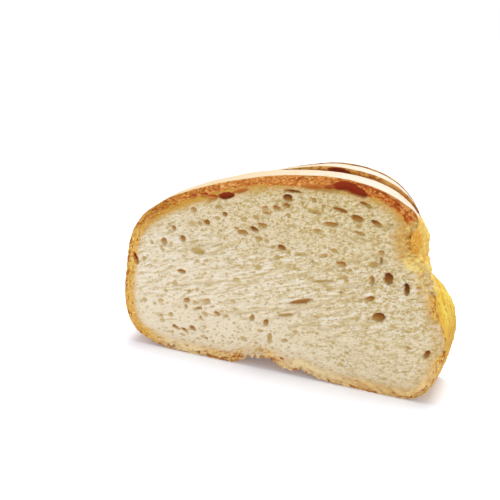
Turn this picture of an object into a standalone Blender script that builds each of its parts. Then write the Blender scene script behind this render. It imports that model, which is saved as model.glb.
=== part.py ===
"""Three upright slices from the middle of a floured white loaf, standing together on their bottom crust.

Run with blender --background --python part.py, or from Blender's text editor.
Metres, +Z up. X runs across the loaf and Y along it, and the first cut face looks along -Y.
Every size below is in millimetres unless its name says otherwise.
"""

import math
import random

import bmesh
import bpy
from mathutils import Matrix, Vector, noise

MM = 0.001

SLICE_THICKNESS = 10.6
SLICE_GAP = 0.5
SLICE_NAMES = ("slice_front", "slice_middle", "slice_back")
STACK_DEPTH = len(SLICE_NAMES) * SLICE_THICKNESS + (len(SLICE_NAMES) - 1) * SLICE_GAP

# How far each slice's crown stands above the first outline's, at its front and at its back.
LIFT_AT_ROUND_END = {
    "slice_front": (0.0, 1.0),
    "slice_middle": (0.2, -1.2),
    "slice_back": (-1.3, -3.0),
}
LIFT_AT_TORN_END = {
    "slice_front": (0.0, 0.3),
    "slice_middle": (2.9, 2.1),
    "slice_back": (2.7, 0.4),
}
# The one lift turns into the other between these x, and both fade out down to the crown's start.
LIFT_TURNS_AT = (-14.0, 33.0)
CROWN_START = 62.0
CROWN_TOP = 115.6

# The tear is the rough hollow under the crown's right end: its middle, its reach up and down and its
# inner limit in x. A power under 1 opens it fast behind the first cut face.
TEAR_HEIGHT = 84.0
TEAR_REACH = 13.0
TEAR_SIDE = 60.0
TEAR_OPENING = 0.6

OUTLINE_STEPS = 4
SECTIONS = 4

# Height and grain size of the crust's lumps, and of the rougher ones in the tear. The base has none.
CRUST_RELIEF = 0.35
CRUST_GRAIN = 9.0
TEAR_RELIEF = 1.5
TEAR_GRAIN = 5.0
RELIEF_START = 4.0

# The outline runs once round as (x, z), from the left end of the base. This is the base.
BASE = [
    (-62, 0), (-43, 0), (-25, 0), (-19, 2.2), (-13, 5.0), (-5, 6.4), (1.5, 6.0), (7, 3.4), (15, 3.0),
    (19, 4.4), (23, 2.6), (31, 0.8), (38, 0), (57, 0), (76, 0),
]
# The torn side follows, up to the crown, at three depths behind the first cut face.
TORN_SIDE = [
    (0.0, [
        (84.5, 3.2), (90.2, 11.5), (93.2, 21.5), (95.4, 32.0), (93.4, 43.0), (89.8, 52.0),
        (88.2, 61.0), (85.2, 70.0), (81.6, 77.6), (73.6, 82.2), (73.8, 89.6), (76.6, 97.4),
        (74.9, 101.9), (69.1, 106.0), (60.5, 110.5), (49.0, 113.8),
    ]),
    (SLICE_THICKNESS, [
        (85.0, 2.6), (90.9, 10.2), (93.7, 20.0), (95.3, 30.5), (94.8, 41.5), (92.0, 51.5),
        (88.0, 60.8), (84.4, 68.4), (82.3, 75.6), (81.5, 82.0), (80.9, 88.4), (78.0, 95.0),
        (73.6, 99.6), (68.0, 105.0), (60.0, 109.9), (49.0, 113.5),
    ]),
    (STACK_DEPTH, [
        (86.0, 1.6), (91.4, 8.0), (93.8, 17.5), (95.3, 27.0), (95.3, 37.2), (92.7, 46.2),
        (87.7, 53.6), (82.6, 59.6), (78.4, 66.0), (77.0, 73.5), (75.8, 80.5), (73.2, 87.4),
        (70.0, 93.6), (65.6, 100.8), (58.6, 107.6), (48.5, 112.8),
    ]),
]
# The crown and the round side lead back to the base.
CROWN = [
    (32.0, 115.6), (12.0, 114.8), (-8.0, 111.9), (-30.0, 106.4), (-52.0, 99.0), (-69.5, 90.2), (-82.5, 79.2),
]
ROUND_SIDE = [(-88.8, 67.0), (-92.2, 52.0), (-94.8, 34.0), (-94.2, 20.5), (-89.0, 9.5), (-78.0, 3.2)]

# The largest holes in the crumb of the first cut face: x, z, width, height, tilt in degrees.
LARGE_PORES = [
    (42.5, 110.2, 17.0, 5.0, -20), (27.0, 108.8, 20.0, 2.6, -4),
    (-26.5, 99.6, 8.5, 3.2, 12), (-35.0, 97.8, 6.0, 2.8, 8), (-18.0, 103.2, 8.0, 2.0, 15),
    (-54.2, 71.7, 3.4, 3.6, 0), (-66.4, 68.2, 3.6, 4.0, 0), (-44.8, 65.6, 8.5, 4.0, 0),
    (-55.6, 51.6, 5.2, 2.2, -5), (-86.2, 54.7, 2.4, 6.5, 12), (-17.0, 80.1, 6.4, 2.6, -5),
    (-10.0, 82.8, 4.2, 2.4, -20), (5.6, 74.5, 4.2, 2.8, -10), (8.5, 102.1, 4.6, 3.2, -15),
    (2.5, 96.1, 4.4, 2.4, -20), (32.1, 90.8, 7.0, 2.4, 0), (45.9, 95.4, 6.0, 3.2, -15),
    (55.6, 94.0, 5.8, 2.4, -30), (38.8, 70.2, 5.0, 2.8, 0), (63.4, 66.1, 3.8, 6.0, 0),
    (55.1, 63.7, 2.4, 5.0, 0), (72.8, 62.0, 2.4, 6.0, 5), (59.7, 44.2, 6.4, 4.4, 25),
    (17.1, 45.4, 11.0, 2.6, 12), (54.4, 53.6, 5.2, 2.6, 25), (-61.0, 15.4, 4.4, 2.2, -20),
    (-49.5, 16.7, 4.0, 2.6, -20), (-3.2, 29.1, 2.8, 4.0, -20), (85.6, 28.3, 2.2, 5.0, -20),
]
PORE_DEPTH_SHARE = 0.62
MOST_PORE_DEPTH = 3.4
PORE_TURN = 17.0
# The last cut face repeats those that lie within these limits, turned end for end and shrunk a little.
REPEATED_WITHIN = (70.0, 100.0)
REPEATED_SHRINK = 0.93
REPEATED_LIFT = 1.5

SMALL_PORES = 26
SMALL_PORE_WIDTH = (2.4, 4.6)
SMALL_PORE_FLATNESS = (0.45, 0.8)
SMALL_PORE_TILT = 20.0
PORE_SPACING = 1.5
# Small pores lie above this height and inside an ellipse that keeps clear of the crust.
PORES_START = 10.0
PORES_CENTRE = 30.0
PORES_REACH = (82.0, 72.0)
RANDOM_SEED = 11

CRUST_COLOUR = (0.52, 0.25, 0.065, 1.0)
CRUMB_COLOUR = (0.68, 0.53, 0.32, 1.0)


def smooth_step(low, high, value):
    """A share from 0 at low to 1 at high, with soft ends."""
    share = min(1.0, max(0.0, (value - low) / (high - low)))
    return share * share * (3.0 - 2.0 * share)


def blend(first, second, share):
    """The number that lies this share of the way from first to second."""
    return first + (second - first) * share


def clear_scene():
    """Removes everything that the startup scene holds."""
    for item in list(bpy.data.objects):
        bpy.data.objects.remove(item)


def new_collection(name):
    """A collection in the scene."""
    collection = bpy.data.collections.new(name)
    bpy.context.scene.collection.children.link(collection)
    return collection


def material(name, colour, roughness):
    """A plain matte finish."""
    made = bpy.data.materials.new(name)
    made.use_nodes = True
    shader = made.node_tree.nodes["Principled BSDF"]
    shader.inputs["Base Color"].default_value = colour
    shader.inputs["Roughness"].default_value = roughness
    shader.inputs["Metallic"].default_value = 0.0
    return made


def torn_side(depth):
    """The torn side's points at this depth, between the outlines before and behind it."""
    near, far = (0, 1) if depth <= SLICE_THICKNESS else (1, 2)
    (first_depth, first), (second_depth, second) = TORN_SIDE[near], TORN_SIDE[far]
    share = (depth - first_depth) / (second_depth - first_depth)
    if near == 0:
        share = share**TEAR_OPENING
    return [(blend(a[0], b[0], share), blend(a[1], b[1], share)) for a, b in zip(first, second)]


def smooth_outline(points):
    """A closed Bezier curve through the points, read back as (x, z) pairs."""
    data = bpy.data.curves.new("outline", "CURVE")
    data.resolution_u = OUTLINE_STEPS
    spline = data.splines.new("BEZIER")
    spline.bezier_points.add(len(points) - 1)
    spline.use_cyclic_u = True
    for knot, (x, z) in zip(spline.bezier_points, points):
        knot.co = (x, z, 0.0)
        knot.handle_left_type = "AUTO"
        knot.handle_right_type = "AUTO"
    guide = bpy.data.objects.new("outline", data)
    bpy.context.scene.collection.objects.link(guide)
    evaluated = guide.evaluated_get(bpy.context.evaluated_depsgraph_get())
    mesh = bpy.data.meshes.new_from_object(evaluated)
    found = [(v.co.x, v.co.y) for v in mesh.vertices]
    bpy.data.meshes.remove(mesh)
    bpy.data.objects.remove(guide)
    return found


def outward(points, index):
    """The outline's unit normal at a point, away from the bread."""
    before = Vector(points[index - 1])
    after = Vector(points[(index + 1) % len(points)])
    along = (after - before).normalized()
    return Vector((along.y, -along.x))


def shaped(point, direction, y, lifts):
    """Moves an outline point for the crown's height and the crust's relief at this depth."""
    x, z = point
    tear_here = math.exp(-(((z - TEAR_HEIGHT) / TEAR_REACH) ** 2)) if x > TEAR_SIDE else 0.0
    grain = noise.noise(Vector((x, y, z)) / CRUST_GRAIN) * CRUST_RELIEF
    torn = noise.noise(Vector((x, y, z)) / TEAR_GRAIN) * TEAR_RELIEF * tear_here
    push = (grain + torn) * smooth_step(0.0, RELIEF_START, z)
    lift = blend(*lifts, smooth_step(*LIFT_TURNS_AT, x)) * smooth_step(CROWN_START, CROWN_TOP, z)
    return x + direction.x * push, max(0.0, z + direction.y * push + lift)


def section(name, share, y):
    """The slice's outline at a share of its thickness, as 3-D points."""
    lifts = (blend(*LIFT_AT_ROUND_END[name], share), blend(*LIFT_AT_TORN_END[name], share))
    points = smooth_outline(BASE + torn_side(y + STACK_DEPTH / 2) + CROWN + ROUND_SIDE)
    made = [shaped(p, outward(points, i), y, lifts) for i, p in enumerate(points)]
    return [Vector((x, y, z)) for x, z in made]


def slice_mesh(name, front_y):
    """A slice as a loft through its sections: each loop is extruded from the last and moved into place."""
    shares = [i / (SECTIONS - 1) for i in range(SECTIONS)]
    sections = [section(name, s, front_y + s * SLICE_THICKNESS) for s in shares]
    work = bmesh.new()
    first = [work.verts.new(p) for p in sections[0]]
    loop = [work.edges.new((a, b)) for a, b in zip(first, first[1:] + first[:1])]
    front_edges = list(loop)
    ring = first
    for points in sections[1:]:
        grown = bmesh.ops.extrude_edge_only(work, edges=loop)["geom"]
        loop = [g for g in grown if isinstance(g, bmesh.types.BMEdge) and len(g.link_faces) == 1]
        fresh = {v for e in loop for v in e.verts}
        next_ring = [next(e.other_vert(v) for e in v.link_edges if e.other_vert(v) in fresh) for v in ring]
        for vert, place in zip(next_ring, points):
            vert.co = place
        loop = [e for e in loop if set(e.verts) <= fresh]
        ring = next_ring
    for face in work.faces:
        face.material_index = 1
    for edges in (front_edges, loop):
        cap = bmesh.ops.contextual_create(work, geom=edges)["faces"]
        bmesh.ops.triangulate(work, faces=cap, ngon_method="BEAUTY")
    bmesh.ops.recalc_face_normals(work, faces=work.faces)
    bmesh.ops.scale(work, vec=(MM, MM, MM), verts=work.verts)
    mesh = bpy.data.meshes.new(name)
    work.to_mesh(mesh)
    work.free()
    return mesh


def centre(parts):
    """Moves the slices sideways together until the loaf's box stands over the origin, and says how far."""
    across = [v.co.x for part in parts for v in part.data.vertices]
    shift = -(min(across) + max(across)) / 2
    for part in parts:
        part.data.transform(Matrix.Translation((shift, 0.0, 0.0)))
    return shift / MM


def add_pore(cutters, x, z, face_y, width, height, tilt):
    """A squashed sphere whose widest section lies just outside the cut face."""
    depth = min(MOST_PORE_DEPTH, PORE_DEPTH_SHARE * max(height, width / 2))
    turned = Matrix.Rotation(math.radians(-tilt), 4, "Y")
    sized = Matrix.Diagonal((width / 2, depth, height / 2, 1.0))
    # An odd angle keeps the sphere's own vertices off the face's plane.
    spun = Matrix.Rotation(math.radians(PORE_TURN + x), 4, (1, 2, 3))
    work = bmesh.new()
    bmesh.ops.create_icosphere(work, subdivisions=2, radius=1.0, matrix=turned @ sized @ spun)
    bmesh.ops.translate(work, vec=(x, face_y, z), verts=work.verts)
    bmesh.ops.scale(work, vec=(MM, MM, MM), verts=work.verts)
    mesh = bpy.data.meshes.new("pore")
    work.to_mesh(mesh)
    work.free()
    cutter = bpy.data.objects.new("pore", mesh)
    cutter.display_type = "WIRE"
    cutter.hide_render = True
    cutters.objects.link(cutter)


def in_crumb(x, z):
    """Whether a place on a cut face lies clear of the crust."""
    reach_x, reach_z = PORES_REACH
    return z > PORES_START and (x / reach_x) ** 2 + ((z - PORES_CENTRE) / reach_z) ** 2 < 1.0


def scattered_pores(random_source, taken):
    """Places for the small pores, each clear of those before it."""
    reach_x, reach_z = PORES_REACH
    found = []
    while len(found) < SMALL_PORES:
        x = random_source.uniform(-reach_x, reach_x)
        z = random_source.uniform(PORES_START, PORES_CENTRE + reach_z)
        width = random_source.uniform(*SMALL_PORE_WIDTH)
        height = width * random_source.uniform(*SMALL_PORE_FLATNESS)
        tilt = random_source.uniform(-SMALL_PORE_TILT, SMALL_PORE_TILT)
        clear = all(
            math.hypot(x - p[0], z - p[1]) > (width + max(p[2], p[3])) / 2 + PORE_SPACING
            for p in taken + found
        )
        if clear and in_crumb(x, z):
            found.append((x, z, width, height, tilt))
    return found


def turned_round(pores):
    """The large pores as the last cut face shows them."""
    most_x, most_z = REPEATED_WITHIN
    return [
        (-x * REPEATED_SHRINK, z * REPEATED_SHRINK + REPEATED_LIFT, width, height, -tilt)
        for x, z, width, height, tilt in pores
        if abs(x) < most_x and z < most_z
    ]


def cut_pores(part, pores, shift, face_y):
    """Cuts the pores into one face of a slice, moved sideways as the slice was."""
    cutters = new_collection(part.name + "_pores")
    cutters.hide_render = True
    for x, z, width, height, tilt in pores:
        add_pore(cutters, x + shift, z, face_y, width, height, tilt)
    cut = part.modifiers.new("pores", "BOOLEAN")
    cut.operation = "DIFFERENCE"
    cut.operand_type = "COLLECTION"
    cut.collection = cutters
    cut.solver = "EXACT"


def make_slice(name, front_y, loaf, finishes):
    """One slice with its crumb and crust finishes, before any pore is cut."""
    part = bpy.data.objects.new(name, slice_mesh(name, front_y))
    for finish in finishes:
        part.data.materials.append(finish)
    loaf.objects.link(part)
    return part


def main():
    """Makes the slices, centres them and cuts the pores into the two outer cut faces."""
    clear_scene()
    loaf = new_collection("sliced_loaf")
    finishes = (material("crumb", CRUMB_COLOUR, 0.9), material("crust", CRUST_COLOUR, 0.75))
    random_source = random.Random(RANDOM_SEED)
    fronts = [-STACK_DEPTH / 2 + i * (SLICE_THICKNESS + SLICE_GAP) for i in range(len(SLICE_NAMES))]
    parts = [make_slice(name, y, loaf, finishes) for name, y in zip(SLICE_NAMES, fronts)]
    shift = centre(parts)
    front_pores = LARGE_PORES + scattered_pores(random_source, LARGE_PORES)
    cut_pores(parts[0], front_pores, shift, fronts[0])
    back_large = turned_round(LARGE_PORES)
    back_pores = back_large + scattered_pores(random_source, back_large)
    cut_pores(parts[-1], back_pores, shift, STACK_DEPTH / 2)


main()
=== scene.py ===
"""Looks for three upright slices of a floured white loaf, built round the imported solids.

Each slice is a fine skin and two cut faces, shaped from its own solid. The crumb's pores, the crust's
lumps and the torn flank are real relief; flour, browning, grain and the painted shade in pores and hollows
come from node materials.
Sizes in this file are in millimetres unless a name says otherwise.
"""

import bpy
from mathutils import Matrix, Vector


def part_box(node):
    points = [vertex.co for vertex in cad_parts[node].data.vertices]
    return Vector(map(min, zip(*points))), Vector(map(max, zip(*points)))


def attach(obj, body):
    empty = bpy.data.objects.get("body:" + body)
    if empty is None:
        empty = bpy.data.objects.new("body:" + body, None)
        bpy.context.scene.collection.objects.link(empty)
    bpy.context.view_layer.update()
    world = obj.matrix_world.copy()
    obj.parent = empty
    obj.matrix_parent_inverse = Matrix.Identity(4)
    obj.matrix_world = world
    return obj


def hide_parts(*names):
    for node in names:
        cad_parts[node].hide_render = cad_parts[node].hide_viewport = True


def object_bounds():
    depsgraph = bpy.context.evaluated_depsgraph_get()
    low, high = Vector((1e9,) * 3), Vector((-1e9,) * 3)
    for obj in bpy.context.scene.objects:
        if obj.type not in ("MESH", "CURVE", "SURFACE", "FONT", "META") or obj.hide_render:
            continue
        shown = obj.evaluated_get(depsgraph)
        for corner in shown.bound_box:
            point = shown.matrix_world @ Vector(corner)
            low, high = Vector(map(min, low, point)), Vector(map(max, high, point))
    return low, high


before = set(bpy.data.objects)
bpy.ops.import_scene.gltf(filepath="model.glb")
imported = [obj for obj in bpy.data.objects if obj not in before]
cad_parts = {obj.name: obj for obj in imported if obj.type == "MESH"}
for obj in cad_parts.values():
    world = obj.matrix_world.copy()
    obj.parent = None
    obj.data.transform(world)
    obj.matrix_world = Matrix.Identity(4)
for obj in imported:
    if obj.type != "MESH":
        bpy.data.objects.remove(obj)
CAD_BOX = [list(corner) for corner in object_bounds()]

import logging
import math
import random
from dataclasses import dataclass, field
from enum import Enum
from typing import ClassVar

import bpy
import numpy as np
from mathutils import Vector, kdtree, noise
from mathutils.bvhtree import BVHTree

MM = 0.001
BODY = "root"
LOG = logging.getLogger("loaf")

# Two lengths or shares that belong together: where a share starts and where it is full,
# the least and the most of a draw, or a place's x and z.
Span = tuple[float, float]
# A hole's x, z, width, height, tilt and tone.
HoleRow = tuple[float, float, float, float, float, float]


class CutSide(Enum):
    """Which cut face of a slice looks out of the stack. The value is the way that face looks along Y."""

    FRONT = -1.0
    BACK = 1.0


class Coat(Enum):
    """The material slots of a slice, by their index."""

    CRUMB = 0
    CRUST = 1


def soft_step(low: float, high: float, value: np.ndarray) -> np.ndarray:
    """A share from 0 at low to 1 at high with soft ends; low may be the greater."""
    share = np.clip((value - low) / (high - low), 0.0, 1.0)
    return share * share * (3.0 - 2.0 * share)


def mix(first: np.ndarray | float, second: np.ndarray | float, share: np.ndarray) -> np.ndarray:
    """The values that lie this share of the way from first to second."""
    return first + (second - first) * share


def clouds(points: np.ndarray, size: float, octaves: int = 3, apart: float = 0.0) -> np.ndarray:
    """Fractal noise at points.

    Args:
        points: Places in millimetres, one row each.
        size: Width of the largest lumps.
        octaves: How many finer layers are added.
        apart: How far the pattern is moved, to keep it apart from others.

    Returns:
        One value a point, mostly between -1 and 1.
    """
    return np.array([noise.fractal(p, 1.0, 2.0, octaves) for p in ((points + apart) / size).tolist()])


def deselect() -> None:
    """Leaves object mode with nothing selected."""
    if bpy.context.mode != "OBJECT":
        bpy.ops.object.mode_set(mode="OBJECT")
    bpy.ops.object.select_all(action="DESELECT")


@dataclass(frozen=True)
class Pore:
    """A hole in a cut face: its place, its size, its tilt in degrees, its tone and its depth.

    The tone runs from 0, as pale as the crumb round it, to 1, darkest; that darkness is painted shade inside
    the hole.
    """

    x: float
    z: float
    width: float
    height: float
    tilt: float
    tone: float
    depth: float

    # Narrower pores than the first swell and spread their painted shade onto the crumb round them, and
    # narrower ones than the second have painted shade under their upper edge. Wider ones than the third have
    # a steadier edge.
    spreads_shade_below: ClassVar[float] = 10.0
    shaded_below: ClassVar[float] = 7.5
    steady_above: ClassVar[float] = 4.5
    swell: ClassVar[float] = 1.12
    shade_spread: ClassVar[float] = 0.3
    middle_shade: ClassVar[float] = 0.82
    edge_shade: ClassVar[float] = 0.5
    shades: ClassVar[Span] = (0.25, 1.3)
    steepness: ClassVar[float] = 0.7
    dark_softening: ClassVar[float] = 0.25

    def share(
        self, x: np.ndarray, z: np.ndarray, ragged: np.ndarray
    ) -> tuple[np.ndarray, np.ndarray, np.ndarray]:
        """How deep each place lies in the pore, how far it takes the pore's colour, and how dark that is.

        Args:
            x: Places across the slice.
            z: Their heights.
            ragged: Noise that moves the pore's edge in and out.

        Returns:
            0 outside the pore, up to 1 at its bottom; the same for the colour, painted shade that reaches a
            little past a dark pore's wall; and tones with painted shade under the upper edge.
        """
        small = self.width < self.spreads_shade_below
        swell = self.swell if small else 1.0
        turn = math.radians(self.tilt)
        across = (x - self.x) * math.cos(turn) + (z - self.z) * math.sin(turn)
        along = (z - self.z) * math.cos(turn) - (x - self.x) * math.sin(turn)
        reach = ((across * 2 / self.width) ** 2 + (along * 2 / self.height) ** 2) / swell**2
        reach = reach * (1.0 + ragged * min(1.0, self.steady_above / self.width))
        # Painted shade: the tone is darker under the pore's upper edge and paler low in it, as if lit from
        # above.
        upper = np.clip(self.middle_shade + self.edge_shade * (z - self.z) / (self.height / 2), *self.shades)
        tone = self.tone * (upper if self.width < self.shaded_below else np.ones(len(z)))
        steepness = self.steepness - self.dark_softening * self.tone
        shade_spread = self.shade_spread * max(self.tone, 0.0) if small else 0.0
        spread_shade = np.clip(1.0 - reach * (1.0 - shade_spread), 0.0, 1.0)
        return np.clip(1.0 - reach, 0.0, 1.0) ** steepness, spread_shade**steepness, tone


# The first cut face's largest holes: x, z, width, height, tilt, tone.
LARGE_PORES = [
    (42.5, 110.2, 17.0, 5.0, -20, 1.0), (27.0, 108.8, 20.0, 2.6, -4, 0.1),
    (-26.5, 99.6, 8.5, 3.2, 12, 0.95), (-35.0, 97.8, 6.0, 2.8, 8, 0.8), (-18.0, 103.2, 8.0, 2.0, 15, 0.6),
    (-54.2, 71.7, 3.4, 3.6, 0, 0.55), (-66.4, 68.2, 3.6, 4.0, 0, 0.45), (-44.8, 65.6, 8.5, 4.0, 0, 0.22),
    (-55.6, 51.6, 5.2, 2.2, -5, 0.6), (-86.2, 54.7, 2.4, 6.5, 12, 0.95), (-17.0, 80.1, 6.4, 2.6, -5, 0.45),
    (-10.0, 82.8, 4.2, 2.4, -20, 0.8), (5.6, 74.5, 4.2, 2.8, -10, 0.7), (8.5, 102.1, 4.6, 3.2, -15, 0.85),
    (2.5, 96.1, 4.4, 2.4, -20, 0.5), (32.1, 90.8, 7.0, 2.4, 0, 0.5), (45.9, 95.4, 6.0, 3.2, -15, 0.65),
    (55.6, 94.0, 5.8, 2.4, -30, 0.65), (38.8, 70.2, 5.0, 2.8, 0, 0.55), (63.4, 66.1, 3.8, 6.0, 0, 0.8),
    (55.1, 63.7, 2.4, 5.0, 0, 0.4), (72.8, 62.0, 2.4, 6.0, 5, 0.85), (59.7, 44.2, 6.4, 4.4, 25, 0.75),
    (17.1, 45.4, 11.0, 2.6, 12, 0.42), (54.4, 53.6, 5.2, 2.6, 25, 0.6), (-61.0, 15.4, 4.4, 2.2, -20, 0.55),
    (-49.5, 16.7, 4.0, 2.6, -20, 0.55), (-3.2, 29.1, 2.8, 4.0, -20, 0.5), (85.6, 28.3, 2.2, 5.0, -20, 0.7),
]

# Holes that only the first cut face's looks have, too small or too shallow for the solid.
LESSER_PORES = [
    (36.5, 110.9, 11.0, 4.2, 4, 1.0), (38.5, 111.3, 13.0, 4.8, 0, 1.0), (31.5, 110.0, 12.0, 2.8, 5, 0.72),
    (23.0, 109.3, 16.0, 2.6, 3, 0.55),
    (-39.5, 98.6, 4.4, 2.3, 10, 0.9), (-46.5, 97.0, 3.6, 1.9, 18, 0.85), (-46.5, 89.5, 3.4, 3.0, 0, 0.4),
    (-31.5, 93.0, 4.4, 2.2, 5, 0.3), (-27.5, 89.0, 2.8, 2.4, 0, 0.6), (-48.0, 81.5, 4.2, 2.8, 20, 0.2),
    (-38.5, 83.0, 2.8, 3.0, 30, 0.65), (-43.0, 82.0, 2.8, 2.2, 0, 0.35), (-59.5, 77.0, 2.6, 2.8, 0, 0.5),
    (-62.5, 79.0, 2.0, 2.0, 0, 0.3), (-4.0, 95.0, 3.0, 2.4, 0, 0.4), (8.0, 98.0, 3.8, 2.4, -10, 0.6),
    (9.0, 93.0, 2.8, 2.2, 0, 0.35), (-9.0, 89.5, 3.6, 2.2, -10, 0.3), (-3.0, 92.5, 4.2, 1.6, -5, 0.45),
    (-5.5, 85.5, 5.2, 2.8, -10, 0.45), (-7.5, 78.0, 4.6, 2.4, -5, 0.35), (-20.5, 82.0, 3.2, 1.5, -15, 0.45),
    (-80.5, 56.0, 2.6, 2.8, 0, 0.3), (-68.5, 64.0, 2.2, 2.4, 0, 0.25), (11.0, 106.0, 10.5, 1.4, 0, 0.6),
    (37.0, 99.0, 7.6, 1.9, -12, 0.5), (23.5, 96.5, 8.0, 2.4, -12, 0.2), (25.0, 86.5, 5.0, 1.7, -5, 0.35),
    (47.5, 88.0, 5.4, 1.8, -15, 0.4), (34.5, 77.0, 3.6, 2.2, 0, 0.35), (29.0, 73.5, 4.8, 2.2, 12, 0.3),
    (55.5, 72.5, 5.0, 2.6, 10, 0.35), (59.0, 75.0, 1.3, 4.0, -5, 0.4), (16.5, 72.5, 7.4, 2.0, 5, 0.2),
    (29.0, 59.3, 15.0, 1.7, 9, 0.12), (41.0, 63.0, 3.6, 2.4, 10, 0.25), (50.0, 103.0, 7.2, 1.7, -18, 0.5),
    (-53.0, 34.0, 4.0, 3.0, 15, 0.5), (-53.5, 30.0, 2.8, 2.3, 0, 0.35), (-40.0, 35.5, 5.4, 3.4, 25, 0.3),
    (-46.0, 30.0, 6.2, 1.6, 20, 0.45), (-33.5, 29.0, 3.8, 2.6, -25, 0.5), (-64.0, 23.0, 3.2, 2.7, 15, 0.35),
    (-70.5, 21.0, 2.0, 2.0, 0, 0.35), (-54.5, 14.5, 4.4, 2.0, -30, 0.5), (-44.0, 24.5, 2.2, 2.6, 0, 0.35),
    (-28.0, 28.5, 4.2, 2.0, 20, 0.3), (-11.5, 30.5, 2.8, 4.2, -35, 0.4), (-1.0, 20.0, 2.6, 6.4, -10, 0.25),
    (8.0, 20.5, 4.2, 2.2, 15, 0.3), (-6.0, 11.5, 3.0, 2.2, 20, 0.4), (7.0, 8.5, 2.2, 1.6, -20, 0.8),
    (-6.5, 23.5, 3.4, 2.0, 0, 0.25), (-40.5, 12.0, 1.8, 1.8, 0, 0.45), (8.5, 36.0, 11.0, 2.2, 14, 0.25),
    (17.0, 45.6, 16.0, 2.3, 19, 0.42),
]


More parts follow.
